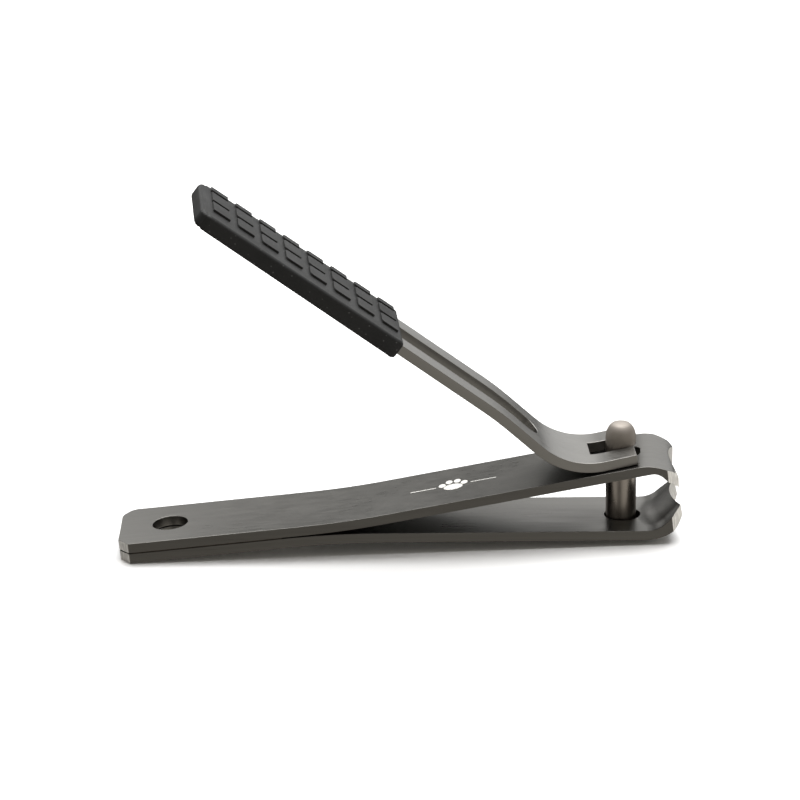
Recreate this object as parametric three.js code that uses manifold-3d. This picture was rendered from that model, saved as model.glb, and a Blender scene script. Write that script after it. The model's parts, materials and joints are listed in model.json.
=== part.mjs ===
// A lever nail clipper for pets: two spring-steel jaws brazed together at the tail, a notched post that
// stands through both of them, and a cranked lever with a rubber grip that tilts in the post's notch and
// squeezes the jaws shut.
//
// Millimetres, +Z up. The jaws lie along X, with the tail at low X and the cutting noses at high X.
// The clipper is drawn in its own frame, in which the brazed seam is the plane z = 0 and the tail ends at
// x = 0. The last group tips and moves it so that it stands on the table on its tail and on the post's foot.
import * as THREE from "three";
import { mergeVertices } from "three/addons/utils/BufferGeometryUtils.js";
import Module from "manifold-3d";

const wasm = await Module();
wasm.setup();

const rad = THREE.MathUtils.degToRad;

// Jaws
const JAW_WIDTH = 18.5;
const SHEET = 1.95;
const SEAM_HALF = 0.1;
const BEND_RADIUS = 184;
const TAIL_CHAMFER_LENGTH = 2.0;
const TAIL_CHAMFER_HALF = 6.6; // half the width that stays square at the tail
const HANG_HOLE_X = 9.9;
const HANG_HOLE_RADIUS = 3.5;
const UPPER = { side: 1, angle: rad(5.1), corner: 44.8, edge: 65.4, crease: 3.5, creaseRound: 1.4 };
const LOWER = { side: -1, angle: rad(5.6), corner: 42.2, edge: 68.0, crease: 2.4, creaseRound: 2.2 };

// Nose of a jaw, measured from where the outer face starts to curl and from the outer face inwards
const NOSE_HEIGHT = 6.5;
const NOSE_REACH = 6.85;
const CURL_RADIUS = 9.3;
const CURL_ANGLE = rad(34.7);
const TIP_RADIUS = 4.64;
const TIP_ANGLE = rad(80);
const LAND_LEAN = Math.tan(rad(12));
const CRESCENT_DEPTH = 1.5;
const CRESCENT_HALF = 6.8;
const NOSE_SKEW = 0.06; // the noses are ground a little askew: set back on the far side
const NOSE_CHAMFERS = [
  { hand: -1, length: 2.1, half: 6.6 },
  { hand: 1, length: 2.1, half: 6.1 },
  { hand: 1, length: 4.2, half: 7.5 },
];

// Post
const POST_RADIUS = 3.0;
const POST_REACH = 56.5; // along the lower jaw, from its bend
const POST_HOLE_RADIUS = 3.55;
const POST_HOLE_SHIFT = 0.25;
const UPPER_HOLE_X = 99.8;
const UPPER_HOLE_STRAIGHT = 1.0;
const FOOT_RADIUS = 4.75;
const FOOT_THICKNESS = 1.0;
const FOOT_GAP = 0.05;
const HEAD_TOP = 21.3;
const HEAD_FLAT_RADIUS = 0.75;
const HEAD_SHOULDER = 3.2;
const HEAD_CREASE = rad(64); // how far round the shoulder turns before the crown starts
const NOTCH_UNDER = 0.55; // room under the lever's crossbar in the notch
const NOTCH_OVER = 0.4;
const NECK_FACE = -0.35; // where the notch stops, from the post's axis towards the tip

// Lever
const LEVER_WIDTH = 16.2;
const LEVER_SHEET = 2.0;
const LEVER_GAP = 0.3; // over the upper jaw
const CROSSBAR_AHEAD = 1.3; // middle of the crossbar, from the post's axis
const CROSSBAR = 2.2;
const CROSSBAR_RECESS = 0.7; // below the toe's face, so that the post's head sinks into the toe
const CROSSBAR_CHAMFER = 0.4; // lets the crossbar tip up in the notch
const TOE_FLAT = 6.15;
const BELLY_RADIUS = 15;
const BELLY_ANGLE = rad(54);
const SHANK_STEEP = 7.1;
const RELAX_RADIUS = 71;
const SHANK_ANGLE = rad(48.2);
const SHANK_STRAIGHT = 66;
const SLOT_WIDTH = 6.2;
const TOE_SLOT = 6.45;
const SHANK_SLOT_START = -13.9; // from where the straight shank starts
const SHANK_SLOT_END = 56;
const SWIVEL = rad(5); // the lever stands a little askew on its post

// Grip
const GRIP_START = 20.7;
const GRIP_LENGTH = 47.4;
const GRIP_WIDTH = 19.6;
const GRIP_UNDER = 1.0;
const GRIP_OVER = 1.0;
const GRIP_TAPER = 0.012; // the sleeve thins towards its far end
const GRIP_FIT = 0.08;
const PAD_COUNT = 8; // along the grip
const PAD_ROWS = 3;
const PAD_FIRST = 1.4;
const PAD_PITCH = 5.65;
const PAD_LENGTH = 3.9;
const PAD_EDGE = 5.2; // of the row nearest the lever's swung side, from the grip's middle
const PAD_WIDTH = 4.9;
const PAD_ROW_PITCH = 6.0;
const PAD_HEIGHT = 0.35;
const PAD_ROOT = 0.3; // how deep each pad starts in the sleeve

const gunmetal = new THREE.MeshStandardMaterial({ color: 0x6b6965, roughness: 0.38, metalness: 1 });
const postSteel = new THREE.MeshStandardMaterial({ color: 0x6e6660, roughness: 0.32, metalness: 1 });
const brazeAlloy = new THREE.MeshStandardMaterial({ color: 0x5a5046, roughness: 0.6, metalness: 1 });
const rubber = new THREE.MeshStandardMaterial({ color: 0x1c1d1c, roughness: 0.75, metalness: 0 });

// A closed geometry as a manifold-3d solid.
function solidOf(geometry) {
  const bare = geometry.clone();
  bare.deleteAttribute("normal");
  bare.deleteAttribute("uv");
  const merged = mergeVertices(bare, 1e-4);
  return new wasm.Manifold(
    new wasm.Mesh({
      numProp: 3,
      vertProperties: new Float32Array(merged.attributes.position.array),
      triVerts: new Uint32Array(merged.index.array),
    }),
  );
}

function meshOf(name, solid, material) {
  const made = solid.getMesh();
  const geometry = new THREE.BufferGeometry();
  geometry.setAttribute("position", new THREE.BufferAttribute(made.vertProperties, 3));
  geometry.setIndex(new THREE.BufferAttribute(made.triVerts, 1));
  geometry.computeVertexNormals();
  const mesh = new THREE.Mesh(geometry, material);
  mesh.name = name;
  return mesh;
}

// A prism whose outline is given in X and Z, standing across Y from -width / 2 to width / 2.
function acrossY(points, width) {
  const outline = new THREE.Shape(points.map(([x, z]) => new THREE.Vector2(x, z)));
  const geometry = new THREE.ExtrudeGeometry(outline, { depth: width, bevelEnabled: false });
  geometry.rotateX(Math.PI / 2);
  geometry.translate(0, width / 2, 0);
  return geometry;
}

// A prism whose outline is given in X and Y, standing along Z between two heights.
function alongZ(outline, low, high) {
  const settings = { depth: high - low, bevelEnabled: false, curveSegments: 16 };
  const geometry = new THREE.ExtrudeGeometry(outline, settings);
  geometry.translate(0, 0, low);
  return geometry;
}

// An outline with round ends, from one X to another.
function slotOutline(from, to, width) {
  const r = width / 2;
  const outline = new THREE.Shape();
  outline.moveTo(from + r, -r);
  outline.lineTo(to - r, -r);
  outline.absarc(to - r, 0, r, -Math.PI / 2, Math.PI / 2, false);
  outline.lineTo(from + r, r);
  outline.absarc(from + r, 0, r, Math.PI / 2, (3 * Math.PI) / 2, false);
  return outline;
}

function rectangleOutline(fromX, toX, width) {
  const outline = new THREE.Shape();
  outline.moveTo(fromX, -width / 2);
  outline.lineTo(toX, -width / 2);
  outline.lineTo(toX, width / 2);
  outline.lineTo(fromX, width / 2);
  return outline;
}

// A closed body through sections of equal length, each a loop of [x, z] at its own y.
function loft(sections) {
  const count = sections[0].loop.length;
  const positions = sections.flatMap(({ y, loop }) => loop.flatMap(([x, z]) => [x, y, z]));
  const index = [];
  for (let s = 0; s + 1 < sections.length; s++) {
    for (let i = 0; i < count; i++) {
      const a = s * count + i;
      const b = s * count + ((i + 1) % count);
      index.push(a, a + count, b, b, a + count, b + count);
    }
  }
  const cap = (at, flip) => {
    const outline = sections[at].loop.map(([x, z]) => new THREE.Vector2(x, z));
    for (const [a, b, c] of THREE.ShapeUtils.triangulateShape(outline, [])) {
      const base = at * count;
      index.push(base + a, base + (flip ? c : b), base + (flip ? b : c));
    }
  };
  cap(0, false);
  cap(sections.length - 1, true);
  const geometry = new THREE.BufferGeometry();
  geometry.setAttribute("position", new THREE.Float32BufferAttribute(positions, 3));
  geometry.setIndex(index);
  return geometry;
}

// ---- Jaws ----

// A point of a jaw's front plate: along it from its bend, and outwards from its inner face.
function onPlate(jaw, along, out) {
  const x = jaw.corner + along * Math.cos(jaw.angle) - out * Math.sin(jaw.angle);
  const z = SEAM_HALF + along * Math.sin(jaw.angle) + out * Math.cos(jaw.angle);
  return [x, jaw.side * z];
}

// The nose's outer face at a turn of the curl: [reach, depth] from where the curl starts.
function curl(turn) {
  if (turn <= CURL_ANGLE) {
    return [CURL_RADIUS * Math.sin(turn), CURL_RADIUS * (1 - Math.cos(turn))];
  }
  const [x, d] = curl(CURL_ANGLE);
  return [
    x + TIP_RADIUS * (Math.sin(turn) - Math.sin(CURL_ANGLE)),
    d + TIP_RADIUS * (Math.cos(CURL_ANGLE) - Math.cos(turn)),
  ];
}

// How far the crescent stands back from the nose's corners.
function crescent(y) {
  const radius = (CRESCENT_HALF ** 2 + CRESCENT_DEPTH ** 2) / (2 * CRESCENT_DEPTH);
  const rise = radius - Math.sqrt(radius ** 2 - Math.min(Math.abs(y), CRESCENT_HALF) ** 2);
  return Math.max(0, CRESCENT_DEPTH - rise) + NOSE_SKEW * Math.max(0, y + CRESCENT_HALF);
}

// The inner face's crease at the nose, rounded: [reach, depth] from where the curl starts.
function creaseCurve(jaw, setBack) {
  const rise = NOSE_HEIGHT - SHEET;
  const run = NOSE_REACH - jaw.crease;
  const share = jaw.creaseRound / Math.hypot(rise, run);
  const corner = new THREE.Vector2(jaw.crease - setBack, SHEET);
  const before = new THREE.Vector2(corner.x - jaw.creaseRound, SHEET);
  const after = new THREE.Vector2(corner.x + run * share, SHEET + rise * share);
  return new THREE.QuadraticBezierCurve(before, corner, after).getPoints(4);
}

// The turn of the curl at which the hollow-ground land cuts it off.
function lastTurn(setBack) {
  const [tipReach, tipDepth] = curl(TIP_ANGLE);
  let low = 0;
  let high = TIP_ANGLE;
  for (let i = 0; i < 40; i++) {
    const middle = (low + high) / 2;
    const [reach, depth] = curl(middle);
    if (reach > tipReach - setBack + (tipDepth - depth) * LAND_LEAN) high = middle;
    else low = middle;
  }
  return high;
}

// One section of a jaw at y: inner face from tail to crease, cutting edge, curl, outer face back to the tail.
function jawSection(jaw, y) {
  const setBack = crescent(y);
  const bendSteps = 6;
  const curlSteps = 12;
  const start = jaw.corner - BEND_RADIUS * Math.tan(jaw.angle / 2);
  const bend = (radius) =>
    Array.from({ length: bendSteps + 1 }, (_, i) => {
      const turn = (jaw.angle * i) / bendSteps;
      const z = SEAM_HALF + BEND_RADIUS - radius * Math.cos(turn);
      return [start + radius * Math.sin(turn), jaw.side * z];
    });
  const curlStart = jaw.edge - NOSE_REACH;
  const stop = lastTurn(setBack);
  const outerCurl = Array.from({ length: curlSteps + 1 }, (_, i) => {
    const [reach, depth] = curl((stop * (curlSteps - i)) / curlSteps);
    return onPlate(jaw, curlStart + reach, SHEET - depth);
  });
  const loop = [
    [0, jaw.side * SEAM_HALF],
    ...bend(BEND_RADIUS),
    ...creaseCurve(jaw, setBack).map((point) => onPlate(jaw, curlStart + point.x, SHEET - point.y)),
    onPlate(jaw, jaw.edge - setBack, SHEET - NOSE_HEIGHT),
    ...outerCurl,
    ...bend(BEND_RADIUS - SHEET).reverse(),
    [0, jaw.side * (SEAM_HALF + SHEET)],
  ];
  return { y, loop: jaw.side > 0 ? loop : loop.reverse() };
}

// The prisms that take the four corners off a jaw's plan.
function cornerCutters(tipX) {
  const half = JAW_WIDTH / 2;
  const spare = 1;
  const tall = 20;
  const triangle = (x1, y1, x2, y2) => {
    const away = Math.sign(x2 - x1) || 1;
    const outline = new THREE.Shape();
    outline.moveTo(x1, y1);
    outline.lineTo(x2, y2);
    outline.lineTo(x2 + away * spare, y2);
    outline.lineTo(x2 + away * spare, y1 + Math.sign(y1) * spare);
    outline.lineTo(x1, y1 + Math.sign(y1) * spare);
    return outline;
  };
  return NOSE_CHAMFERS.flatMap(({ hand, length, half: square }) => [
    alongZ(triangle(TAIL_CHAMFER_LENGTH, hand * half, 0, hand * TAIL_CHAMFER_HALF), -tall, tall),
    alongZ(triangle(tipX - length, hand * half, tipX, hand * square), -tall, tall),
  ]);
}

function hangHoleCutter() {
  const geometry = new THREE.CylinderGeometry(HANG_HOLE_RADIUS, HANG_HOLE_RADIUS, 12, 40);
  geometry.rotateX(Math.PI / 2);
  geometry.translate(HANG_HOLE_X, 0, 0);
  return geometry;
}

function makeJaw(name, jaw, postHole) {
  const crescentSteps = 14;
  const middle = Array.from(
    { length: crescentSteps + 1 },
    (_, i) => -CRESCENT_HALF + (2 * CRESCENT_HALF * i) / crescentSteps,
  );
  const stations = [-JAW_WIDTH / 2, ...middle, JAW_WIDTH / 2];
  const [tipReach, tipDepth] = curl(TIP_ANGLE);
  const [tipX] = onPlate(jaw, jaw.edge - NOSE_REACH + tipReach, SHEET - tipDepth);
  const blank = solidOf(loft(stations.map((y) => jawSection(jaw, y))));
  const cutters = [...cornerCutters(tipX), hangHoleCutter(), postHole].map(solidOf);
  const solid = cutters.reduce((left, cutter) => left.subtract(cutter), blank);
  return meshOf(name, solid, gunmetal);
}

// The hole for the post in the lower jaw, square to its front plate.
function lowerPostHole() {
  const geometry = new THREE.CylinderGeometry(POST_HOLE_RADIUS, POST_HOLE_RADIUS, 12, 40);
  geometry.rotateX(Math.PI / 2);
  geometry.rotateY(LOWER.angle);
  const [x, z] = onPlate(LOWER, POST_REACH + POST_HOLE_SHIFT, SHEET / 2);
  geometry.translate(x, 0, z);
  return geometry;
}

// The hole in the upper jaw is a little long, because the jaw leans against the post as it closes.
function upperPostHole() {
  const half = POST_HOLE_RADIUS + UPPER_HOLE_STRAIGHT / 2;
  const geometry = alongZ(slotOutline(-half, half, 2 * POST_HOLE_RADIUS), -6, 6);
  geometry.rotateY(-UPPER.angle);
  const along = (UPPER_HOLE_X - UPPER.corner) / Math.cos(UPPER.angle);
  const [x, z] = onPlate(UPPER, along, SHEET / 2);
  geometry.translate(x, 0, z);
  return geometry;
}

// The film of brazing alloy that holds the two tails together.
function makeBraze() {
  const film = SEAM_HALF - 0.015;
  const front = LOWER.corner - BEND_RADIUS * Math.tan(LOWER.angle / 2) - 1;
  const outline = rectangleOutline(TAIL_CHAMFER_LENGTH + 0.6, front, JAW_WIDTH - 0.4);
  const hole = new THREE.Path();
  hole.absarc(HANG_HOLE_X, 0, HANG_HOLE_RADIUS + 0.6, 0, 2 * Math.PI, true);
  outline.holes.push(hole);
  return meshOf("tail_braze", solidOf(alongZ(outline, -film, film)), brazeAlloy);
}

// ---- Post, in its own frame: z along its axis from the lower jaw's underside ----

const footCentre = onPlate(LOWER, POST_REACH, SHEET);

// The height of the crossbar's middle on the post, with the lever's toe lying along the upper jaw.
function crossbarHeight() {
  const tilt = LOWER.angle;
  const x0 = footCentre[0] + CROSSBAR_AHEAD * Math.cos(tilt);
  const z0 = footCentre[1] - CROSSBAR_AHEAD * Math.sin(tilt);
  const slope = Math.tan(UPPER.angle);
  const lift = (SHEET + LEVER_GAP + LEVER_SHEET / 2) / Math.cos(UPPER.angle);
  const jawTop = SEAM_HALF + (x0 - UPPER.corner) * slope + lift;
  return (jawTop - z0) / (Math.cos(tilt) - slope * Math.sin(tilt));
}

const CROSSBAR_HEIGHT = crossbarHeight();
const NOTCH_LOW = CROSSBAR_HEIGHT - LEVER_SHEET / 2 - NOTCH_UNDER;
const NOTCH_HIGH = CROSSBAR_HEIGHT + LEVER_SHEET / 2 - CROSSBAR_RECESS + NOTCH_OVER;

function makePost() {
  const edge = 0.3;
  const footLow = -FOOT_GAP - FOOT_THICKNESS;
  const shoulderSteps = 7;
  const shoulder = Array.from({ length: shoulderSteps + 1 }, (_, i) => {
    const turn = (HEAD_CREASE * i) / shoulderSteps;
    const radius = HEAD_FLAT_RADIUS + (POST_RADIUS - HEAD_FLAT_RADIUS) * Math.cos(turn);
    return new THREE.Vector2(radius, HEAD_TOP - HEAD_SHOULDER * (1 - Math.sin(turn)));
  });
  const rim = shoulder[shoulderSteps];
  const crownSteps = 3;
  const crown = Array.from({ length: crownSteps }, (_, i) => {
    const share = 1 - (i + 1) / crownSteps;
    return new THREE.Vector2(rim.x * share, HEAD_TOP - (HEAD_TOP - rim.y) * share ** 2);
  });
  const profile = [
    new THREE.Vector2(0, footLow),
    new THREE.Vector2(FOOT_RADIUS - edge, footLow),
    new THREE.Vector2(FOOT_RADIUS, footLow + edge),
    new THREE.Vector2(FOOT_RADIUS, -FOOT_GAP),
    new THREE.Vector2(POST_RADIUS, -FOOT_GAP),
    ...shoulder,
    ...crown,
  ];
  const turned = new THREE.LatheGeometry(profile, 40);
  turned.rotateX(Math.PI / 2);
  const wide = 2 * POST_RADIUS + 2;
  const notch = alongZ(rectangleOutline(NECK_FACE, POST_RADIUS + 1, wide), NOTCH_LOW, NOTCH_HIGH);
  return meshOf("post", solidOf(turned).subtract(solidOf(notch)), postSteel);
}

// ---- Lever ----
// In its own frame the origin is the crossbar's middle, and x runs along the toe towards the tip.

// The middle line of the strip as stations { x, z, turn }, from the toe to the far end.
function leverLine() {
  const line = [{ x: CROSSBAR / 2, z: 0, turn: 0 }];
  const last = () => line[line.length - 1];
  const straight = (length) => {
    const { x, z, turn } = last();
    line.push({ x: x - length * Math.cos(turn), z: z + length * Math.sin(turn), turn });
  };
  const arc = (radius, toTurn, steps) => {
    const { x, z, turn } = last();
    const hand = Math.sign(toTurn - turn);
    for (let i = 1; i <= steps; i++) {
      const now = turn + ((toTurn - turn) * i) / steps;
      line.push({
        x: x - hand * radius * (Math.sin(now) - Math.sin(turn)),
        z: z + hand * radius * (Math.cos(turn) - Math.cos(now)),
        turn: now,
      });
    }
  };
  straight(TOE_FLAT);
  arc(BELLY_RADIUS, BELLY_ANGLE, 14);
  straight(SHANK_STEEP);
  arc(RELAX_RADIUS, SHANK_ANGLE, 4);
  straight(SHANK_STRAIGHT);
  return line;
}

const line = leverLine();
const shankStart = line[line.length - 2];

// Both faces of the strip about its middle line.
function leverOutline() {
  const half = LEVER_SHEET / 2;
  const face = (out) => line.map(({ x, z, turn }) => [x + out * Math.sin(turn), z + out * Math.cos(turn)]);
  return [...face(-half), ...face(half).reverse()];
}

// Moves what is drawn in the shank's frame to the lever's: x along it to the grip, z out of its top.
function toShank(geometry) {
  geometry.rotateZ(Math.PI);
  geometry.rotateY(SHANK_ANGLE);
  geometry.translate(shankStart.x, 0, shankStart.z);
  return geometry;
}

function makeLever() {
  const strip = solidOf(acrossY(leverOutline().reverse(), LEVER_WIDTH));
  const toeSlot = alongZ(rectangleOutline(-CROSSBAR / 2 - TOE_SLOT, -CROSSBAR / 2, SLOT_WIDTH), -4, 4);
  const floor = LEVER_SHEET / 2 - CROSSBAR_RECESS;
  const spare = 1;
  const recessOutline = [
    [-CROSSBAR, floor],
    [CROSSBAR / 2 - CROSSBAR_CHAMFER, floor],
    [CROSSBAR / 2 + spare, floor - CROSSBAR_CHAMFER - spare],
    [CROSSBAR / 2 + spare, LEVER_SHEET],
    [-CROSSBAR, LEVER_SHEET],
  ];
  const recess = acrossY(recessOutline, SLOT_WIDTH);
  const shankSlot = toShank(alongZ(slotOutline(SHANK_SLOT_START, SHANK_SLOT_END, SLOT_WIDTH), -4, 4));
  const cutters = [toeSlot, recess, shankSlot].map(solidOf);
  const solid = cutters.reduce((left, cutter) => left.subtract(cutter), strip);
  return meshOf("lever", solid, gunmetal);
}

// ---- Grip ----

// Lowers what lies above the lever's face, in proportion to how far along the grip it is.
function tapered(geometry) {
  const places = geometry.attributes.position;
  for (let i = 0; i < places.count; i++) {
    const z = places.getZ(i);
    if (z > LEVER_SHEET / 2) places.setZ(i, z - GRIP_TAPER * (places.getX(i) - GRIP_START));
  }
  return geometry;
}

function makeGrip() {
  const bevel = 0.9;
  const round = 2.4;
  const from = GRIP_START + bevel;
  const to = GRIP_START + GRIP_LENGTH - bevel;
  const half = GRIP_WIDTH / 2 - bevel;
  const plan = new THREE.Shape();
  plan.moveTo(from, -half);
  plan.lineTo(to - round, -half);
  plan.absarc(to - round, -half + round, round, -Math.PI / 2, 0, false);
  plan.absarc(to - round, half - round, round, 0, Math.PI / 2, false);
  plan.lineTo(from, half);
  const under = -LEVER_SHEET / 2 - GRIP_UNDER;
  const over = LEVER_SHEET / 2 + GRIP_OVER;
  const body = new THREE.ExtrudeGeometry(plan, {
    depth: over - under - 2 * bevel,
    bevelThickness: bevel,
    bevelSize: bevel,
    bevelSegments: 3,
    curveSegments: 5,
  });
  body.translate(0, 0, under + bevel);
  const pocket = alongZ(
    rectangleOutline(0, SHANK_STRAIGHT + GRIP_FIT, LEVER_WIDTH + 2 * GRIP_FIT),
    -LEVER_SHEET / 2 - GRIP_FIT,
    LEVER_SHEET / 2 + GRIP_FIT,
  );
  let solid = solidOf(tapered(body));
  for (let i = 0; i < PAD_COUNT; i++) {
    for (let row = 0; row < PAD_ROWS; row++) {
      const start = GRIP_START + PAD_FIRST + i * PAD_PITCH;
      const near = PAD_EDGE - row * PAD_ROW_PITCH;
      const far = Math.max(near - PAD_WIDTH, bevel - GRIP_WIDTH / 2);
      const outline = rectangleOutline(start, start + PAD_LENGTH, near - far);
      const pad = alongZ(outline, over - PAD_ROOT, over + PAD_HEIGHT);
      pad.translate(0, (near + far) / 2, 0);
      solid = solid.add(solidOf(tapered(pad)));
    }
  }
  solid = solid.subtract(solidOf(pocket));
  const mesh = meshOf("grip_sleeve", solid, rubber);
  toShank(mesh.geometry);
  return mesh;
}

// ---- Assembly ----

const leverGroup = new THREE.Group();
leverGroup.position.set(CROSSBAR_AHEAD, 0, CROSSBAR_HEIGHT);
leverGroup.rotation.y = -(UPPER.angle + LOWER.angle);
leverGroup.add(makeLever(), makeGrip());

const swivelGroup = new THREE.Group();
swivelGroup.rotation.z = SWIVEL;
swivelGroup.add(makePost(), leverGroup);

const postGroup = new THREE.Group();
postGroup.position.set(footCentre[0], 0, footCentre[1]);
postGroup.rotation.y = LOWER.angle;
postGroup.add(swivelGroup);

const clipper = new THREE.Group();
clipper.add(
  makeJaw("lower_jaw", LOWER, lowerPostHole()),
  makeJaw("upper_jaw", UPPER, upperPostHole()),
  makeBraze(),
  postGroup,
);

// The clipper rests on its tail's lower edge and on the front of the post's foot.
const footDrop = FOOT_GAP + FOOT_THICKNESS;
const footFront = [
  footCentre[0] + (FOOT_RADIUS - 0.3) * Math.cos(LOWER.angle) - footDrop * Math.sin(LOWER.angle),
  footCentre[1] - (FOOT_RADIUS - 0.3) * Math.sin(LOWER.angle) - footDrop * Math.cos(LOWER.angle),
];
const tailLow = [0, -SEAM_HALF - SHEET];
clipper.rotation.y = -Math.atan2(tailLow[1] - footFront[1], footFront[0] - tailLow[0]);

const part = new THREE.Group();
part.add(clipper);
part.updateMatrixWorld(true);
const box = new THREE.Box3().setFromObject(part, true);
clipper.position.set(-(box.min.x + box.max.x) / 2, -(box.min.y + box.max.y) / 2, -box.min.z);

export default part;
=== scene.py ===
"""A lever nail clipper for pets: the finished looks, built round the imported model."""

import json
import math

import bpy
from bpy.props import FloatProperty, FloatVectorProperty, IntProperty, PointerProperty
from mathutils import Matrix, Vector


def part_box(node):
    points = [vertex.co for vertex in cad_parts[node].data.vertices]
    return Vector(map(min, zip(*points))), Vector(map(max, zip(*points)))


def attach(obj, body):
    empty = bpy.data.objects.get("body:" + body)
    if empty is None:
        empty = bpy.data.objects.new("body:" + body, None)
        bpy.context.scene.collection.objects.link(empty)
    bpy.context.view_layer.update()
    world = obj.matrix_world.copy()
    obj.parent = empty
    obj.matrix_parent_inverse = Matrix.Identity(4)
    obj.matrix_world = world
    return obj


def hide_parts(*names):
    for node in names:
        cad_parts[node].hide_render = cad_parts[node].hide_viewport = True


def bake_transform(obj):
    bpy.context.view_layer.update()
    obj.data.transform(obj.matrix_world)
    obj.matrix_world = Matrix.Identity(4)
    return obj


bl_info = {
    "name": "Pet nail clipper",
    "version": (1, 0, 0),
    "blender": (4, 5, 0),
    "location": "3D View > Sidebar > Clipper",
    "description": "Finishes a lever nail clipper: plated jaws, post, lever and moulded grip",
    "category": "Object",
}

MM = 0.001
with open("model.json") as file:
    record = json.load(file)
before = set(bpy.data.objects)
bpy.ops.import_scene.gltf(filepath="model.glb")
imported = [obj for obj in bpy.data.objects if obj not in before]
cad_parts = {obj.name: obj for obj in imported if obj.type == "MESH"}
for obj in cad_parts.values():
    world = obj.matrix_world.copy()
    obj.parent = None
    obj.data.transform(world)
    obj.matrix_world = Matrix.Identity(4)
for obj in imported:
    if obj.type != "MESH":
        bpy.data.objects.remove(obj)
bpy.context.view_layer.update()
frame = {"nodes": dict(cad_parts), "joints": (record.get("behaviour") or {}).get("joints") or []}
JOINTS = {joint["name"]: joint for joint in frame["joints"]}


# ---- Settings ----


def length(name, description, millimetres, low=0.0, high=200.0):
    """A length that the sidebar shows in the scene's units."""
    return FloatProperty(
        name=name,
        description=description,
        default=millimetres * MM,
        min=low * MM,
        max=high * MM,
        precision=5,
        unit="LENGTH",
    )


def angle(name, description, degrees):
    """An angle, given here in degrees."""
    return FloatProperty(
        name=name, description=description, default=math.radians(degrees), subtype="ANGLE"
    )


def share(name, description, value):
    """A share from 0 to 1."""
    return FloatProperty(
        name=name, description=description, default=value, min=0.0, max=1.0, subtype="FACTOR"
    )


def colour(name, description, red, green, blue):
    """A linear colour."""
    return FloatVectorProperty(
        name=name,
        description=description,
        default=(red, green, blue),
        min=0.0,
        max=1.0,
        subtype="COLOR",
    )


class ClipperMetalSettings(bpy.types.PropertyGroup):
    """Colours and edges of the steel pieces."""

    edge_round: length("Edge rounding", "Radius that breaks the edges of the sheet", 0.12)
    tail_round: length("Tail rounding", "Radius of the jaws' far tail corner in plan", 1.0)
    mark_place: length("Mark", "From the tail to the middle of the etched mark", 66.0)
    jaw_colour: colour("Jaw plating", "Gunmetal plating of the jaws", 0.148, 0.144, 0.134)
    lever_colour: colour("Lever plating", "Lighter plating of the lever", 0.225, 0.22, 0.208)
    post_colour: colour("Post plating", "Dark polished plating of the post", 0.27, 0.246, 0.222)
    ground_colour: colour("Ground steel", "Bare steel where the noses are ground", 0.7, 0.68, 0.64)
    braze_colour: colour("Braze", "Dull filler in the seam of the tail", 0.10, 0.085, 0.07)
    jaw_roughness: share("Jaw roughness", "Roughness of the brushed plating", 0.3)
    post_roughness: share("Post roughness", "Roughness of the turned post", 0.31)
    polish: share("Nose polish", "Roughness inside the noses", 0.34)
    flex_start: length("Flex start", "Where the upper jaw starts to bend, from the tail", 24.0)
    flex_end: length("Flex end", "Where the upper jaw stops bending, from the tail", 66.0)
    flex_cuts: IntProperty(
        name="Flex cuts", description="Cross-cuts that let the jaw bend smoothly", default=26
    )


class ClipperGripSettings(bpy.types.PropertyGroup):
    """Sizes and colour of the rubber sleeve."""

    pad_height: length("Pad height", "How far the pads stand out of the sleeve", 0.45)
    pad_first: length("First pad", "From the sleeve's front end to its first pads", 1.4)
    pad_pitch: length("Pad pitch", "From one row of pads to the next", 5.65)
    pad_length: length("Pad length", "Length of a pad along the sleeve", 3.9)
    pad_width: length("Pad width", "Width of a pad across the sleeve", 4.9)
    pad_edge: length("Pad edge", "From the middle to the near edge of the nearest row", 5.2)
    pad_row_pitch: length("Pad row pitch", "From one pad to the next across the sleeve", 6.0)
    pad_corner: length("Pad corner", "Radius of a pad's corners at its far end", 0.7)
    pad_count: IntProperty(name="Pads along", description="Pads along the sleeve", default=8)
    pad_rows: IntProperty(name="Pad rows", description="Pads across the sleeve", default=3)
    rim: length("Rim", "Rounding round the sleeve's top and underside", 0.8)
    end_corner: length("End corner", "Radius of the far corners in plan", 2.5)
    wall: length("Wall", "Rubber under the lever", 0.92)
    end_wall: length("End wall", "Rubber beyond the lever's far end", 1.3)
    pocket_half: length("Pocket half width", "Half the width of the pocket for the lever", 8.18)
    pocket_height: length("Pocket height", "Height of the pocket for the lever", 2.16)
    line_place: length("Moulding line", "From the sleeve's far end to its moulding line", 1.5)
    line_width: length("Line width", "Width of the moulding line", 0.25)
    line_depth: length("Line depth", "Depth of the moulding line", 0.1)
    edge_round: length("Edge rounding", "Radius that softens the pads' edges", 0.1)
    taper: share("Taper", "How much the sleeve thins for each unit of its length", 0.012)
    colour: colour("Rubber", "Moulded black rubber", 0.0056, 0.0058, 0.0055)


class ClipperStageSettings(bpy.types.PropertyGroup):
    """Floor, light and camera."""

    floor_colour: colour("Floor", "Pale floor", 0.92, 0.92, 0.92)
    floor_size: FloatProperty(
        name="Floor size", description="Side of the floor", default=12.0, unit="LENGTH"
    )
    camera_azimuth: angle("Camera azimuth", "Turn of the view to the left of +Y", -1.783)
    camera_elevation: angle("Camera elevation", "Height of the view above the horizon", 20.457)
    camera_roll: angle("Camera roll", "Roll of the view", -2.788)
    camera_distance: FloatProperty(
        name="Camera distance",
        description="From the aim to the camera",
        default=0.97534,
        unit="LENGTH",
    )
    aim: FloatVectorProperty(
        name="Aim",
        description="Point in the middle of the picture",
        default=(0.001244, -0.002346, 0.03101),
        precision=6,
        subtype="TRANSLATION",
    )
    lens: FloatProperty(name="Lens", description="Focal length in millimetres", default=226.18)


# ---- Making and editing meshes ----


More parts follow.
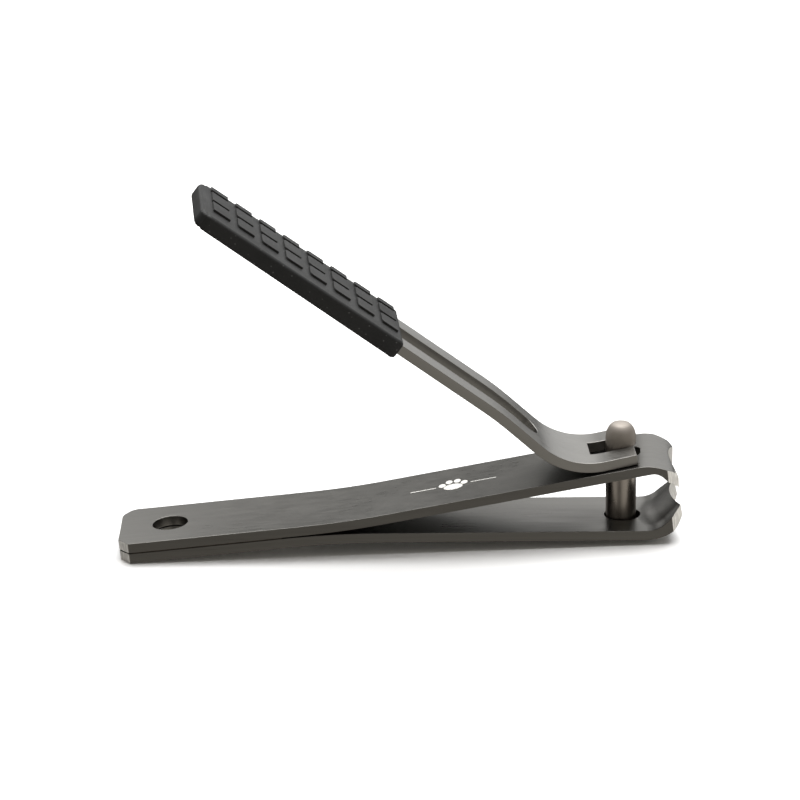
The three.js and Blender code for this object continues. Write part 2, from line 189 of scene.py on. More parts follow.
def only(piece):
    """Selects one piece alone and makes it active."""
    bpy.ops.object.select_all(action="DESELECT")
    piece.select_set(True)
    bpy.context.view_layer.objects.active = piece


def edit(piece, mode="EDGE"):
    """Opens one piece in edit mode with nothing selected."""
    only(piece)
    bpy.ops.object.mode_set(mode="EDIT")
    bpy.ops.mesh.select_mode(type=mode)
    bpy.ops.mesh.select_all(action="DESELECT")


def done():
    """Goes back to object mode."""
    bpy.ops.object.mode_set(mode="OBJECT")


def select_faces(piece, test):
    """Selects the faces whose centre and normal pass a test, from edit mode."""
    bpy.ops.object.mode_set(mode="OBJECT")
    for face in piece.data.polygons:
        face.select = bool(test(face.center, face.normal))
    if not any(face.select for face in piece.data.polygons):
        raise RuntimeError(f"no face of {piece.name} passes the test")
    bpy.ops.object.mode_set(mode="EDIT")


def select_edges(piece, test):
    """Selects the edges whose two ends pass a test, from edit mode."""
    bpy.ops.object.mode_set(mode="OBJECT")
    mesh = piece.data
    for vertex in mesh.vertices:
        vertex.select = False
    for face in mesh.polygons:
        face.select = False
    for edge in mesh.edges:
        first, second = (mesh.vertices[i].co for i in edge.vertices)
        edge.select = bool(test(first, second))
    if not any(edge.select for edge in mesh.edges):
        raise RuntimeError(f"no edge of {piece.name} passes the test")
    bpy.ops.object.mode_set(mode="EDIT")


def cut(place, normal):
    """Cuts the whole mesh along a plane, from edit mode."""
    bpy.ops.mesh.select_all(action="SELECT")
    bpy.ops.mesh.bisect(plane_co=place, plane_no=normal)
    bpy.ops.mesh.select_all(action="DESELECT")


def apply_modifier(piece, kind, **values):
    """Adds a modifier, sets it and applies it."""
    only(piece)
    modifier = piece.modifiers.new(kind.title(), kind)
    for key, value in values.items():
        setattr(modifier, key, value)
    bpy.ops.object.modifier_apply(modifier=modifier.name)


def break_edges(piece, width, sharper_than=math.radians(32)):
    """Rounds a piece's sharp edges and smooths its faces."""
    apply_modifier(
        piece,
        "BEVEL",
        width=width,
        segments=2,
        limit_method="ANGLE",
        angle_limit=sharper_than,
        use_clamp_overlap=False,
        miter_outer="MITER_ARC",
    )
    only(piece)
    bpy.ops.object.shade_smooth_by_angle(angle=math.radians(40))
    apply_modifier(piece, "WEIGHTED_NORMAL", keep_sharp=True, weight=90)


def merged_copy(node, name):
    """A copy of a CAD node with its doubles merged and its flat faces made whole."""
    piece = bpy.data.objects.new(name, frame["nodes"][node].data.copy())
    bpy.context.scene.collection.objects.link(piece)
    edit(piece)
    bpy.ops.mesh.select_all(action="SELECT")
    bpy.ops.mesh.remove_doubles(threshold=0.002 * MM)
    bpy.ops.mesh.dissolve_limited(angle_limit=math.radians(0.4))
    done()
    piece.data.materials.clear()
    return piece


def paint(piece, *materials):
    """Gives a piece its materials, the first one all over."""
    piece.data.materials.clear()
    for material in materials:
        piece.data.materials.append(material)
    for face in piece.data.polygons:
        face.material_index = min(face.material_index, len(materials) - 1)


def mark_faces(piece, index, test):
    """Puts the faces that pass a test in a material slot."""
    for face in piece.data.polygons:
        if test(face.center, face.normal):
            face.material_index = index


# ---- Shader nodes ----


def feed(tree, node, inputs):
    """Gives a node's inputs values or links."""
    for key, value in inputs.items():
        if isinstance(value, bpy.types.NodeSocket):
            tree.links.new(value, node.inputs[key])
        else:
            node.inputs[key].default_value = value


def add(tree, kind, inputs=None, **settings):
    """Adds a node, sets it and feeds it."""
    node = tree.nodes.new(kind)
    for key, value in settings.items():
        setattr(node, key, value)
    feed(tree, node, inputs or {})
    return node


def maths(tree, operation, first, second=0.0, third=0.0, clamp=False):
    """One step of arithmetic on two values or three."""
    inputs = {0: first, 1: second, 2: third}
    return add(tree, "ShaderNodeMath", inputs, operation=operation, use_clamp=clamp).outputs[0]


def vector_maths(tree, operation, first, second):
    """One step of arithmetic on two vectors."""
    return add(tree, "ShaderNodeVectorMath", {0: first, 1: second}, operation=operation).outputs[0]


def remap(tree, value, low, high, to_low=0.0, to_high=1.0):
    """A value moved from one range to another."""
    inputs = {"Value": value, "From Min": low, "From Max": high}
    inputs |= {"To Min": to_low, "To Max": to_high}
    return add(tree, "ShaderNodeMapRange", inputs).outputs["Result"]


def blend_colours(tree, mask, first, second, amount=1.0):
    """Two colours mixed by a mask, or by an amount of it."""
    if amount != 1.0:
        mask = maths(tree, "MULTIPLY", mask, amount)
    inputs = {0: mask, 6: first, 7: second}
    return add(tree, "ShaderNodeMix", inputs, data_type="RGBA").outputs[2]


def new_group(name, inputs, outputs):
    """An empty shader group with its sockets: (group, input node, output node)."""
    group = bpy.data.node_groups.new(name, "ShaderNodeTree")
    for label, kind, value in inputs:
        socket = group.interface.new_socket(label, in_out="INPUT", socket_type=kind)
        if value is not None:
            socket.default_value = value
    for label, kind in outputs:
        group.interface.new_socket(label, in_out="OUTPUT", socket_type=kind)
    return group, group.nodes.new("NodeGroupInput"), group.nodes.new("NodeGroupOutput")


FLOAT = "NodeSocketFloat"
VECTOR = "NodeSocketVector"


def brushed_grain():
    """Fine scratches that run along X."""
    group, given, result = new_group(
        "brushed_grain",
        [("Vector", VECTOR, None), ("Along", FLOAT, 50.0), ("Across", FLOAT, 2600.0)],
        [("Grain", FLOAT), ("Streaks", FLOAT)],
    )
    for name, share_of, detail in (("Grain", 1.0, 3.0), ("Streaks", 0.16, 2.0)):
        across = maths(group, "MULTIPLY", given.outputs["Across"], share_of)
        along = maths(group, "MULTIPLY", given.outputs["Along"], share_of)
        scale = add(group, "ShaderNodeCombineXYZ", {0: along, 1: across, 2: across})
        stretched = vector_maths(group, "MULTIPLY", given.outputs["Vector"], scale.outputs[0])
        inputs = {"Vector": stretched, "Scale": 1.0, "Detail": detail, "Roughness": 0.6}
        noise = add(group, "ShaderNodeTexNoise", inputs)
        group.links.new(remap(group, noise.outputs["Fac"], 0.3, 0.7), result.inputs[name])
    return group


def worn_edge():
    """Where a rounded edge has rubbed: 0 on flats, 1 on the sharpest edges."""
    group, given, result = new_group(
        "worn_edge",
        [("Vector", VECTOR, None), ("Width", FLOAT, 0.25 * MM), ("Patchiness", FLOAT, 0.5)],
        [("Mask", FLOAT)],
    )
    bevel = add(group, "ShaderNodeBevel", {"Radius": given.outputs["Width"]}, samples=6)
    here = add(group, "ShaderNodeNewGeometry")
    inputs = {0: bevel.outputs[0], 1: here.outputs["Normal"]}
    along = add(group, "ShaderNodeVectorMath", inputs, operation="DOT_PRODUCT")
    turned = remap(group, along.outputs["Value"], 0.97, 0.84)
    inputs = {"Vector": given.outputs["Vector"], "Scale": 900.0, "Detail": 3.0}
    noise = add(group, "ShaderNodeTexNoise", inputs)
    patches = remap(group, noise.outputs["Fac"], 0.38, 0.6)
    kept = maths(group, "SUBTRACT", 1.0, given.outputs["Patchiness"])
    rubbed = maths(group, "MULTIPLY_ADD", patches, given.outputs["Patchiness"], kept)
    group.links.new(maths(group, "MULTIPLY", turned, rubbed, clamp=True), result.inputs["Mask"])
    return group


def handling():
    """Broad soft smudges from fingers, and fine dust."""
    group, given, result = new_group(
        "handling",
        [("Vector", VECTOR, None), ("Scale", FLOAT, 60.0)],
        [("Smudge", FLOAT), ("Dust", FLOAT)],
    )
    place, scale = given.outputs["Vector"], given.outputs["Scale"]
    inputs = {"Vector": place, "Scale": scale, "Detail": 4.0, "Distortion": 0.6}
    broad = add(group, "ShaderNodeTexNoise", inputs)
    group.links.new(remap(group, broad.outputs["Fac"], 0.35, 0.7), result.inputs["Smudge"])
    specks = add(group, "ShaderNodeTexVoronoi", {"Vector": place, "Scale": 900.0}, feature="F1")
    group.links.new(remap(group, specks.outputs["Distance"], 0.16, 0.05), result.inputs["Dust"])
    return group


def paw_print():
    """A small generic paw print: one palm and four toes, each an ellipse."""
    group, given, result = new_group("paw_print", [("Vector", VECTOR, None)], [("Mask", FLOAT)])
    palm = (0.0, -0.55, 1.15, 0.9)
    toes = [(x, y, 0.42, 0.56) for x, y in ((-1.35, 0.35), (-0.5, 1.15), (0.5, 1.15), (1.35, 0.35))]
    mask = None
    for x, y, wide, tall in (palm, *toes):
        moved = vector_maths(group, "ADD", given.outputs["Vector"], (-x, -y, 0.0))
        scaled = vector_maths(group, "MULTIPLY", moved, (1.0 / wide, 1.0 / tall, 0.0))
        size = add(group, "ShaderNodeVectorMath", {0: scaled}, operation="LENGTH")
        spot = remap(group, size.outputs["Value"], 1.06, 0.94)
        mask = spot if mask is None else maths(group, "MAXIMUM", mask, spot)
    group.links.new(mask, result.inputs["Mask"])
    return group


def shared_group(make):
    """A shader group, made the first time that it is asked for."""
    return bpy.data.node_groups.get(make.__name__) or make()


def use(tree, make, inputs):
    """Puts a shared group in a tree, feeds it and gives its outputs."""
    return add(tree, "ShaderNodeGroup", inputs, node_tree=shared_group(make)).outputs


# ---- Materials ----

ETCHED = (0.74, 0.73, 0.7, 1.0)
DUST = (0.25, 0.25, 0.24, 1.0)
PAW_SCALE = 620.0  # the paw print's own units in a metre


def start_material(name, **values):
    """A new material: (material, tree, shader, Object coordinates)."""
    material = bpy.data.materials.new(name)
    material.use_nodes = True
    tree = material.node_tree
    shader = tree.nodes["Principled BSDF"]
    for key, value in values.items():
        shader.inputs[key].default_value = value
    place = add(tree, "ShaderNodeTexCoord").outputs["Object"]
    return material, tree, shader, place


def turned(tree, place, turn):
    """Coordinates turned about Y, so that X runs along a sloping piece."""
    mapping = add(tree, "ShaderNodeMapping", {"Vector": place, "Rotation": (0.0, turn, 0.0)})
    return mapping.outputs["Vector"]


def rgba(values, factor=1.0):
    """A colour made lighter or darker, with alpha."""
    return (*(min(1.0, value * factor) for value in values), 1.0)


def connect(tree, shader, base, rough):
    """Gives the shader its colour and its roughness."""
    tree.links.new(base, shader.inputs["Base Color"])
    tree.links.new(rough, shader.inputs["Roughness"])


def emboss(tree, shader, height, strength, depth):
    """Gives the shader a relief."""
    inputs = {"Strength": strength, "Distance": depth, "Height": height}
    bump = add(tree, "ShaderNodeBump", inputs)
    tree.links.new(bump.outputs[0], shader.inputs["Normal"])


def plated_steel(name, values, roughness, turn=0.0, marked=None, relief=0.14):
    """Gunmetal plating over brushed steel, with rubbed edges and an optional etched mark."""
    material, tree, shader, place = start_material(name, Metallic=1.0)
    grain = use(tree, brushed_grain, {"Vector": turned(tree, place, turn)})
    touch = use(tree, handling, {"Vector": place, "Scale": 45.0})
    wear = use(tree, worn_edge, {"Vector": place, "Width": 0.3 * MM, "Patchiness": 0.55})
    fine = maths(tree, "MULTIPLY", grain["Grain"], 0.45)
    streaky = maths(tree, "MULTIPLY_ADD", grain["Streaks"], 0.55, fine)
    base = blend_colours(tree, streaky, rgba(values, 0.93), rgba(values, 1.07))
    worn = blend_colours(tree, wear["Mask"], base, rgba(values, 1.9), amount=0.4)
    rough = remap(tree, grain["Grain"], 0.0, 1.0, roughness - 0.05, roughness + 0.06)
    rough = maths(tree, "ADD", rough, maths(tree, "MULTIPLY", touch["Smudge"], 0.07))
    if marked is not None:
        mask = etched_mark(tree, place, marked)
        worn = blend_colours(tree, mask, worn, ETCHED)
        rough = maths(tree, "ADD", rough, maths(tree, "MULTIPLY", mask, 0.35))
    connect(tree, shader, worn, rough)
    emboss(tree, shader, grain["Grain"], relief, 0.004 * MM)
    return material


def etched_mark(tree, place, centre):
    """A paw print between two fine lines, etched into the top of the jaw."""
    moved = vector_maths(tree, "ADD", place, tuple(-value for value in centre))
    scaled = vector_maths(tree, "MULTIPLY", moved, (PAW_SCALE, PAW_SCALE, PAW_SCALE))
    paw = use(tree, paw_print, {"Vector": scaled})["Mask"]
    apart = add(tree, "ShaderNodeSeparateXYZ", {0: moved})
    beside = maths(tree, "ABSOLUTE", apart.outputs["X"])
    after = maths(tree, "GREATER_THAN", beside, 3.4 * MM)
    before = maths(tree, "LESS_THAN", beside, 8.5 * MM)
    along = maths(tree, "MULTIPLY", after, before)
    off = maths(tree, "ABSOLUTE", apart.outputs["Y"])
    line = maths(tree, "MULTIPLY", along, remap(tree, off, 0.16 * MM, 0.1 * MM))
    here = add(tree, "ShaderNodeNewGeometry")
    facing = add(tree, "ShaderNodeSeparateXYZ", {0: here.outputs["Normal"]})
    on_top = maths(tree, "GREATER_THAN", facing.outputs["Z"], 0.5)
    return maths(tree, "MULTIPLY", maths(tree, "MAXIMUM", paw, line), on_top)


def ground_steel(name, values):
    """Bare steel with the coarse scratches of a grinding wheel."""
    material, tree, shader, place = start_material(name, Metallic=0.6)
    upright = turned(tree, place, math.pi / 2)
    grain = use(tree, brushed_grain, {"Vector": upright, "Along": 500.0, "Across": 3400.0})
    touch = use(tree, handling, {"Vector": place, "Scale": 300.0})
    base = blend_colours(tree, grain["Grain"], rgba(values, 0.72), rgba(values, 1.2))
    base = blend_colours(tree, touch["Smudge"], base, rgba(values, 0.6), amount=0.3)
    connect(tree, shader, base, remap(tree, grain["Grain"], 0.0, 1.0, 0.62, 0.4))
    emboss(tree, shader, grain["Grain"], 0.6, 0.02 * MM)
    return material


def polished_steel(name, values, roughness, turn, head):
    """Dark polished plating with the faint rings of turning, satin near the height of its head,
    where the colour is also painted lighter as a painted highlight.
    """
    material, tree, shader, place = start_material(name, Metallic=1.0)
    upright = turned(tree, place, turn + math.pi / 2)
    lathe = use(tree, brushed_grain, {"Vector": upright, "Along": 3800.0, "Across": 90.0})
    touch = use(tree, handling, {"Vector": place, "Scale": 220.0})
    wear = use(tree, worn_edge, {"Vector": place, "Width": 0.35 * MM, "Patchiness": 0.4})
    base = blend_colours(tree, touch["Smudge"], rgba(values, 0.95), rgba(values, 1.07))
    base = blend_colours(tree, wear["Mask"], base, rgba(values, 1.8), amount=0.2)
    height = add(tree, "ShaderNodeSeparateXYZ", {0: place}).outputs["Z"]
    # Satin roughness on the head, which also paints the head's colour lighter: a painted highlight.
    satin_and_painted_light = remap(tree, height, head - 4.6 * MM, head - 3.4 * MM, 0.0, 0.32)
    base = blend_colours(tree, satin_and_painted_light, base, rgba(values, 1.6))
    rough = remap(tree, touch["Smudge"], 0.0, 1.0, roughness - 0.04, roughness + 0.08)
    connect(tree, shader, base, maths(tree, "ADD", rough, satin_and_painted_light))
    emboss(tree, shader, lathe["Grain"], 0.08, 0.003 * MM)
    return material


def dull_filler(name, values):
    """Oxidised brazing alloy, mottled and slightly pitted."""
    material, tree, shader, place = start_material(name, Metallic=1.0)
    touch = use(tree, handling, {"Vector": place, "Scale": 700.0})
    base = blend_colours(tree, touch["Smudge"], rgba(values, 0.6), rgba(values, 1.4))
    connect(tree, shader, base, remap(tree, touch["Smudge"], 0.0, 1.0, 0.5, 0.75))
    return material


def moulded_rubber(name, values):
    """Matt black rubber with the fine texture of its mould, and shinier rubbed edges whose colour
    is painted lighter: partly wear, partly a painted sheen.
    """
    plain = {"Metallic": 0.0, "Specular IOR Level": 0.33}
    material, tree, shader, place = start_material(name, **plain)
    touch = use(tree, handling, {"Vector": place, "Scale": 110.0})
    wear = use(tree, worn_edge, {"Vector": place, "Width": 0.35 * MM, "Patchiness": 0.35})
    fine = add(tree, "ShaderNodeTexNoise", {"Vector": place, "Scale": 4200.0, "Detail": 2.0})
    mottled = blend_colours(tree, touch["Smudge"], rgba(values, 0.85), rgba(values, 1.25))
    # Lighter colour on the rubbed edges: partly wear, partly a painted sheen.
    worn = blend_colours(tree, wear["Mask"], mottled, rgba(values, 2.6), amount=0.6)
    dust_wear_and_sheen = blend_colours(tree, touch["Dust"], worn, DUST, amount=0.22)
    rough = remap(tree, touch["Smudge"], 0.0, 1.0, 0.6, 0.5)
    rubbed = maths(tree, "MULTIPLY", wear["Mask"], 0.1)
    connect(tree, shader, dust_wear_and_sheen, maths(tree, "SUBTRACT", rough, rubbed))
    emboss(tree, shader, fine.outputs["Fac"], 0.35, 0.03 * MM)
    return material


# ---- Jaws ----


def ground_faces(node):
    """A test for a jaw's ground faces: its nose's land and chamfers, and its tail's chamfers."""
    low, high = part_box(node)
    nose = high.x - 4.5 * MM
    tail = low.x + 2.3 * MM

    def test(centre, normal):
        if centre.x > nose:
            return normal.x > 0.62 and abs(normal.z) < 0.6
        return centre.x < tail and normal.x < -0.5 and abs(normal.y) > 0.3

    return test


def polished_faces(node, inward):
    """A test for the hollow inside a jaw's nose, whose faces look along +Z or -Z (inward)."""
    _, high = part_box(node)
    start = high.x - 9.5 * MM
    return lambda centre, normal: (
        centre.x > start and -0.995 < normal.x < -0.06 and normal.z * inward > 0.05
    )


def round_tail(piece, node, radius):
    """Rounds the upright edges of the tail's far corner."""
    low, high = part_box(node)
    tail = low.x + 2.6 * MM
    middle = (low.y + high.y) / 2

    def upright(a, b):
        return max(a.x, b.x) < tail and a.y > middle and abs(a.z - b.z) > 1.5 * MM

    edit(piece)
    select_edges(piece, upright)
    bpy.ops.mesh.bevel(offset=radius, segments=4, affect="EDGES")
    done()


def make_jaw(node, name, inward, steels, metal, cuts=()):
    """A jaw with broken edges: plated, with ground faces left bare and a polished nose."""
    piece = merged_copy(node, name)
    if cuts:
        edit(piece)
        for x in cuts:
            cut((x, 0.0, 0.0), (1.0, 0.0, 0.0))
        done()
    round_tail(piece, node, metal.tail_round)
    paint(piece, *steels)
    mark_faces(piece, 1, ground_faces(node))
    mark_faces(piece, 2, polished_faces(node, inward))
    break_edges(piece, metal.edge_round)
    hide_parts(node)
    return piece


class CLIPPER_OT_jaws(bpy.types.Operator):
    """Both jaws, in brushed gunmetal with ground noses, the upper one springy"""

    bl_idname = "clipper.jaws"
    bl_label = "Jaws"

    def execute(self, context):
        metal = context.scene.clipper_metal
        low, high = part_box("upper_jaw")
        middle = (low.y + high.y) / 2
        mark = (low.x + metal.mark_place, middle, 0.0)
        dark, roughness = metal.jaw_colour, metal.jaw_roughness
        bare = ground_steel("ground_steel", metal.ground_colour)
        plain = plated_steel("jaw_plating", dark, roughness)
        shiny = plated_steel("jaw_polish", dark, metal.polish, relief=0.05)
        marked = plated_steel("jaw_plating_marked", dark, roughness, marked=mark)
        lower = make_jaw("lower_jaw", "jaw_lower", 1, (plain, bare, shiny), metal)
        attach(lower, "jaw_base")
        start = low.x + metal.flex_start
        end = low.x + metal.flex_end
        step = (end - start) / metal.flex_cuts
        cuts = [start + step * i for i in range(metal.flex_cuts + 1)]
        steels = (marked, bare, shiny)
        upper = make_jaw("upper_jaw", "jaw_upper", -1, steels, metal, cuts)
        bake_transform(upper)
        return {"FINISHED"}


class CLIPPER_OT_braze(bpy.types.Operator):
    """The braze that joins the two tails"""

    bl_idname = "clipper.braze"
    bl_label = "Braze"

    def execute(self, context):
        filler = dull_filler("braze_filler", context.scene.clipper_metal.braze_colour)
        paint(frame["nodes"]["tail_braze"], filler)
        return {"FINISHED"}


# ---- Post and lever ----


class CLIPPER_OT_post(bpy.types.Operator):
    """The turned post with its notch and foot"""

    bl_idname = "clipper.post"
    bl_label = "Post"

    def execute(self, context):
        metal = context.scene.clipper_metal
        axis = Vector(JOINTS["post_swivel"]["axis"])
        lean = math.atan2(axis.x, axis.z)
        piece = merged_copy("post", "post_turned")
        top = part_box("post")[1].z
        steel = polished_steel("post_plating", metal.post_colour, metal.post_roughness, lean, top)
        paint(piece, steel)
        break_edges(piece, metal.edge_round)
        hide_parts("post")
        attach(piece, "post")
        return {"FINISHED"}


def slope_of(node):
    """How steeply a flat bar's longest stretch rises towards its far end."""
    low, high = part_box(node)
    return math.atan2(high.z - low.z, high.x - low.x)


class CLIPPER_OT_lever(bpy.types.Operator):
    """The cranked lever with its two slots"""

    bl_idname = "clipper.lever"
    bl_label = "Lever"

    def execute(self, context):
        metal = context.scene.clipper_metal
        piece = merged_copy("lever", "lever_cranked")
        turn = -slope_of("grip_sleeve")
        steel = plated_steel("lever_plating", metal.lever_colour, metal.jaw_roughness, turn)
        paint(piece, steel)
        break_edges(piece, metal.edge_round)
        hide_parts("lever")
        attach(piece, "lever")
        return {"FINISHED"}


# ---- Grip ----

TINY = 0.01 * MM  # two places nearer than this are the same
LEAN_DEPTH = 1.5 * MM  # how much of the sleeve's top leans with its taper


def sleeve_frame():
    """(matrix, size) of the sleeve: x along it to its far end, y across and z out of its top."""
    mesh = frame["nodes"]["grip_sleeve"].data
    across = Vector(JOINTS["lever_press"]["axis"]).normalized()
    largest = max((f for f in mesh.polygons if f.normal.z < -0.3), key=lambda f: f.area)
    up = -largest.normal.normalized()
    up = (up - across * up.dot(across)).normalized()
    along = across.cross(up)
    ends = [[vertex.co.dot(axis) for vertex in mesh.vertices] for axis in (along, across, up)]
    low = [min(values) for values in ends]
    high = [max(values) for values in ends]
    corner = along * low[0] + across * (low[1] + high[1]) / 2 + up * low[2]
    place = Matrix((along, across, up)).transposed().to_4x4()
    place.translation = corner
    return place, Vector((high[0] - low[0], high[1] - low[1], high[2] - low[2]))


def sleeve_blank(grip, size, thickness):
    """The sleeve's plain block with rounded corners and rims."""
    bpy.ops.object.select_all(action="DESELECT")
    bpy.ops.mesh.primitive_cube_add(size=1.0)
    piece = bpy.context.active_object
    piece.name = "grip_rubber"
    piece.scale = (size.x, size.y, thickness)
    piece.location = (size.x / 2, 0.0, thickness / 2)
    bpy.ops.object.transform_apply(location=True, rotation=True, scale=True)
    edit(piece)
    select_edges(piece, lambda a, b: abs(a.z - b.z) > TINY and a.x > size.x - TINY)
    bpy.ops.mesh.bevel(offset=grip.end_corner, segments=8, affect="EDGES")
    select_edges(piece, lambda a, b: abs(a.z - b.z) > TINY and a.x < TINY)
    bpy.ops.mesh.bevel(offset=grip.rim, segments=4, affect="EDGES")
    select_edges(piece, lambda a, b: abs(a.z - b.z) < TINY)
    bpy.ops.mesh.bevel(offset=grip.rim, segments=4, affect="EDGES")
    done()
    return piece


def pad_spans(grip, size):
    """The pads' [from, to] along the sleeve and across it."""
    along = [grip.pad_first + grip.pad_pitch * i for i in range(grip.pad_count)]
    spans_x = [(start, start + grip.pad_length) for start in along]
    edge = -size.y / 2 + grip.rim + 0.15 * MM
    near = [grip.pad_edge - grip.pad_row_pitch * i for i in range(grip.pad_rows)]
    spans_y = [(max(y - grip.pad_width, edge), y) for y in near]
    return spans_x, spans_y


def raise_pads(piece, grip, size, thickness):
    """Cuts the sleeve's top along the pads' sides and raises the pads."""
    spans_x, spans_y = pad_spans(grip, size)
    edit(piece, "FACE")
    for x in (value for span in spans_x for value in span):
        cut((x, 0.0, 0.0), (1.0, 0.0, 0.0))
    for y in (value for span in spans_y for value in span):
        cut((0.0, y, 0.0), (0.0, 1.0, 0.0))

    def inside(value, spans):
        return any(low < value < high for low, high in spans)

    select_faces(piece, lambda c, n: n.z > 0.99 and inside(c.x, spans_x) and inside(c.y, spans_y))
    rise = (0.0, 0.0, grip.pad_height)
    bpy.ops.mesh.extrude_region_move(TRANSFORM_OT_translate={"value": rise})
    corners = [(span[1], y) for span in spans_x for pair in spans_y for y in pair]

    def far_corner(a, b):
        upright = (a.xy - b.xy).length < TINY and min(a.z, b.z) > thickness - TINY
        return upright and any((a.xy - Vector(corner)).length < TINY for corner in corners)

    bpy.ops.mesh.select_mode(type="EDGE")
    select_edges(piece, far_corner)
    bpy.ops.mesh.bevel(offset=grip.pad_corner, segments=4, affect="EDGES")
    done()


def part_line(piece, grip, size):
    """Sinks a hair-thin line round the sleeve where its mould parts."""
    start = size.x - grip.line_place
    end = start + grip.line_width
    edit(piece, "FACE")
    cut((start, 0.0, 0.0), (1.0, 0.0, 0.0))
    cut((end, 0.0, 0.0), (1.0, 0.0, 0.0))
    select_faces(piece, lambda c, n: start < c.x < end)
    bpy.ops.transform.shrink_fatten(value=-grip.line_depth)
    done()


def hollow(piece, low, high):
    """Cuts a box-shaped pocket out of a piece."""
    bpy.ops.object.select_all(action="DESELECT")
    bpy.ops.mesh.primitive_cube_add(size=1.0)
    cutter = bpy.context.active_object
    cutter.scale = Vector(high) - Vector(low)
    cutter.location = (Vector(high) + Vector(low)) / 2
    bpy.ops.object.transform_apply(location=True, rotation=True, scale=True)
    apply_modifier(piece, "BOOLEAN", operation="DIFFERENCE", object=cutter, solver="EXACT")
    bpy.data.objects.remove(cutter)


def lean_top(piece, above, taper):
    """Leans everything above a height down towards the sleeve's far end."""
    edit(piece, "VERT")
    select_edges(piece, lambda a, b: min(a.z, b.z) > above)
    bpy.ops.transform.rotate(
        value=-math.atan(taper),
        orient_axis="Y",
        orient_type="GLOBAL",
        center_override=(0.0, 0.0, above),
    )
    done()


class CLIPPER_OT_grip(bpy.types.Operator):
    """The moulded rubber sleeve with its raised pads"""

    bl_idname = "clipper.grip"
    bl_label = "Grip"

    def execute(self, context):
        grip = context.scene.clipper_grip
        place, size = sleeve_frame()
        thickness = size.z - grip.pad_height + grip.pad_first * grip.taper
        piece = sleeve_blank(grip, size, thickness)
        raise_pads(piece, grip, size, thickness)
        part_line(piece, grip, size)
        lean_top(piece, thickness - LEAN_DEPTH, grip.taper)
        low = (-MM, -grip.pocket_half, grip.wall)
        high = (size.x - grip.end_wall, grip.pocket_half, grip.wall + grip.pocket_height)
        hollow(piece, low, high)
        piece.matrix_world = place
        only(piece)
        bpy.ops.object.transform_apply(location=True, rotation=True, scale=True)
        paint(piece, moulded_rubber("grip_rubber", grip.colour))
        break_edges(piece, grip.edge_round, sharper_than=math.radians(50))
        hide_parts("grip_sleeve")
        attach(piece, "lever")
        return {"FINISHED"}


# ---- Stage ----

# Name, place and aim in metres, width and height in metres, watts.
SOFTBOXES = (
    ("softbox_top", (0.1, 0.25, 0.95), (0.0, 0.0, 0.0), (1.1, 0.8), 19.0),
    ("softbox_tail", (-0.24, 0.45, 0.3), (-0.05, 0.0, 0.02), (0.3, 0.36), 0.4),
    ("softbox_nose", (0.24, 0.45, 0.22), (0.05, 0.0, 0.02), (0.5, 0.4), 0.62),
)
# Azimuth and half width in degrees, strength.
SCREENS = ((-47.0, 24.0, 0.5), (36.0, 44.0, 0.6), (108.0, 26.0, 1.1))
FRONT_TINT = (1.0, 0.95, 0.87, 1.0)
BACK_TINT = (1.0, 0.995, 0.97, 1.0)


class CLIPPER_OT_stage(bpy.types.Operator):
    """Pale floor, soft light and the camera"""

    bl_idname = "clipper.stage"
    bl_label = "Stage"

    def execute(self, context):
        stage = context.scene.clipper_stage
        make_floor(stage)
        make_world()
        for softbox in SOFTBOXES:
            add_softbox(*softbox)
        make_camera(stage)
        context.scene.view_settings.view_transform = "Standard"
        return {"FINISHED"}


def make_floor(stage):
    """A wide sheet of pale paper."""
    bpy.ops.object.select_all(action="DESELECT")
    bpy.ops.mesh.primitive_plane_add(size=stage.floor_size)
    floor = bpy.context.active_object
    floor.name = "floor"
    material, _, shader, _ = start_material("floor_paper", Roughness=0.9)
    shader.inputs["Base Color"].default_value = rgba(stage.floor_colour)
    floor.data.materials.append(material)
    floor.visible_glossy = False


def screen(tree, way, azimuth, width, strength):
    """A soft upright patch of light, azimuth degrees to the right as seen from the clipper."""
    turn = math.radians(azimuth)
    towards = (math.sin(turn), -math.cos(turn), 0.0)
    level = vector_maths(tree, "MULTIPLY", way, (1.0, 1.0, 0.0))
    level = add(tree, "ShaderNodeVectorMath", {0: level}, operation="NORMALIZE").outputs[0]
    near = add(tree, "ShaderNodeVectorMath", {0: level, 1: towards}, operation="DOT_PRODUCT")
    edge = math.cos(math.radians(width))
    inner = math.cos(math.radians(width * 0.3))
    return remap(tree, near.outputs["Value"], edge, inner, 0.0, strength)


def make_world():
    """A studio's surroundings: bright above, dim in front and low down, with three soft screens."""
    world = bpy.data.worlds.new("studio")
    bpy.context.scene.world = world
    world.use_nodes = True
    tree = world.node_tree
    way = add(tree, "ShaderNodeTexCoord").outputs["Generated"]
    apart = add(tree, "ShaderNodeSeparateXYZ", {0: way})
    sky = remap(tree, apart.outputs["Z"], -0.15, 0.45, 0.0, 0.36)
    back = remap(tree, apart.outputs["Y"], -0.1, 0.5, 0.0, 1.0)
    sky = maths(tree, "MULTIPLY", sky, maths(tree, "MULTIPLY_ADD", back, 0.15, 0.85))
    low_down = remap(tree, apart.outputs["Z"], 0.25, 0.0, 0.0, 1.0)
    level = remap(tree, apart.outputs["Y"], 0.2, -0.5, 0.06, 0.22)
    for values in SCREENS:
        level = maths(tree, "ADD", level, screen(tree, way, *values))
    total = maths(tree, "ADD", sky, maths(tree, "MULTIPLY", level, low_down))
    tint = blend_colours(tree, back, FRONT_TINT, BACK_TINT)
    light = add(tree, "ShaderNodeVectorMath", {0: tint, "Scale": total}, operation="SCALE")
    background = tree.nodes["Background"]
    tree.links.new(light.outputs[0], background.inputs["Color"])
    background.inputs["Strength"].default_value = 1.0


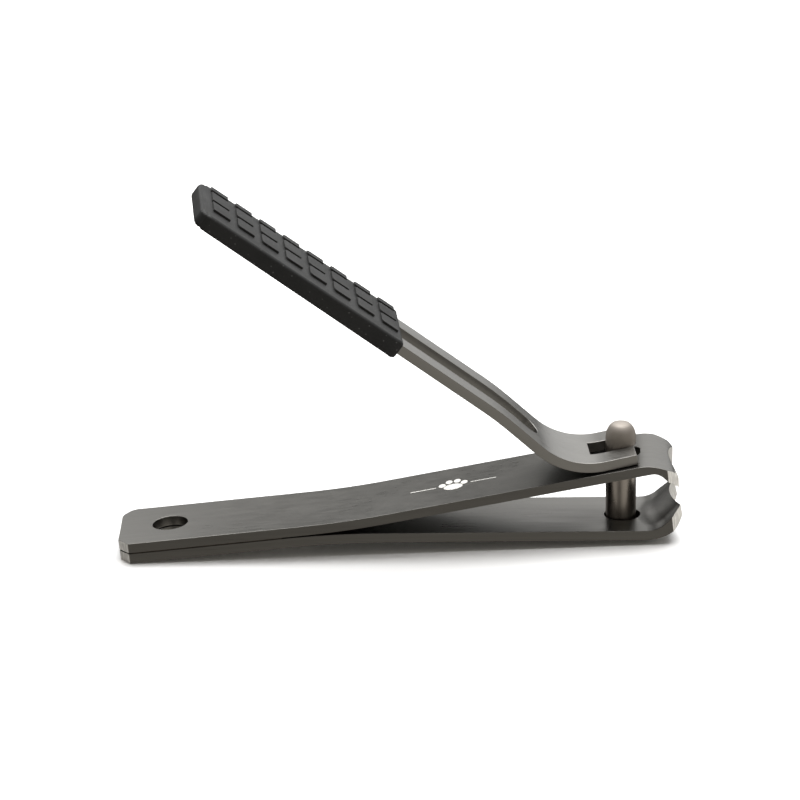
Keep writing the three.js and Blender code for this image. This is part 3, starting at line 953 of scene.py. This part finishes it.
def add_softbox(name, place, aim, size, power):
    """A rectangular lamp that faces its aim."""
    data = bpy.data.lights.new(name, "AREA")
    data.shape = "RECTANGLE"
    data.size, data.size_y = size
    data.energy = power
    lamp = bpy.data.objects.new(name, data)
    bpy.context.scene.collection.objects.link(lamp)
    lamp.location = place
    lamp.rotation_euler = (Vector(aim) - Vector(place)).to_track_quat("-Z", "Y").to_euler()


def make_camera(stage):
    """The camera, set by its angles, its distance and its aim."""
    data = bpy.data.cameras.new("camera")
    camera = bpy.data.objects.new("camera", data)
    bpy.context.scene.collection.objects.link(camera)
    azimuth, elevation = stage.camera_azimuth, stage.camera_elevation
    flat = math.cos(elevation)
    look = Vector((math.sin(azimuth) * flat, math.cos(azimuth) * flat, -math.sin(elevation)))
    level = look.to_track_quat("-Z", "Y").to_matrix()
    camera.rotation_euler = (level @ Matrix.Rotation(stage.camera_roll, 3, "Z")).to_euler()
    camera.location = Vector(stage.aim) - look * stage.camera_distance
    data.lens = stage.lens
    data.sensor_width = 36.0
    data.clip_start = 0.05
    bpy.context.scene.camera = camera


# ---- Sidebar and registration ----


class CLIPPER_PT_panel(bpy.types.Panel):
    """Lists the clipper's pieces and settings"""

    bl_label = "Nail clipper"
    bl_idname = "CLIPPER_PT_panel"
    bl_space_type = "VIEW_3D"
    bl_region_type = "UI"
    bl_category = "Clipper"

    def draw(self, context):
        for step in STEPS:
            self.layout.operator(step.bl_idname)
        for name, kind in SETTINGS.items():
            settings = getattr(context.scene, name)
            for label in kind.__annotations__:
                self.layout.prop(settings, label)


SETTINGS = {
    "clipper_metal": ClipperMetalSettings,
    "clipper_grip": ClipperGripSettings,
    "clipper_stage": ClipperStageSettings,
}
STEPS = (
    CLIPPER_OT_jaws,
    CLIPPER_OT_braze,
    CLIPPER_OT_post,
    CLIPPER_OT_lever,
    CLIPPER_OT_grip,
    CLIPPER_OT_stage,
)
CLASSES = (*SETTINGS.values(), *STEPS, CLIPPER_PT_panel)


def register():
    """Adds the clipper's settings, operators and panel to Blender."""
    for cls in CLASSES:
        bpy.utils.register_class(cls)
    for name, cls in SETTINGS.items():
        setattr(bpy.types.Scene, name, PointerProperty(type=cls))


def unregister():
    """Takes them out again."""
    for name in SETTINGS:
        delattr(bpy.types.Scene, name)
    for cls in reversed(CLASSES):
        bpy.utils.unregister_class(cls)


def main():
    """Builds every piece and the stage."""
    register()
    bpy.ops.clipper.jaws()
    bpy.ops.clipper.braze()
    bpy.ops.clipper.post()
    bpy.ops.clipper.lever()
    bpy.ops.clipper.grip()
    bpy.ops.clipper.stage()


if __name__ == "__main__":
    main()
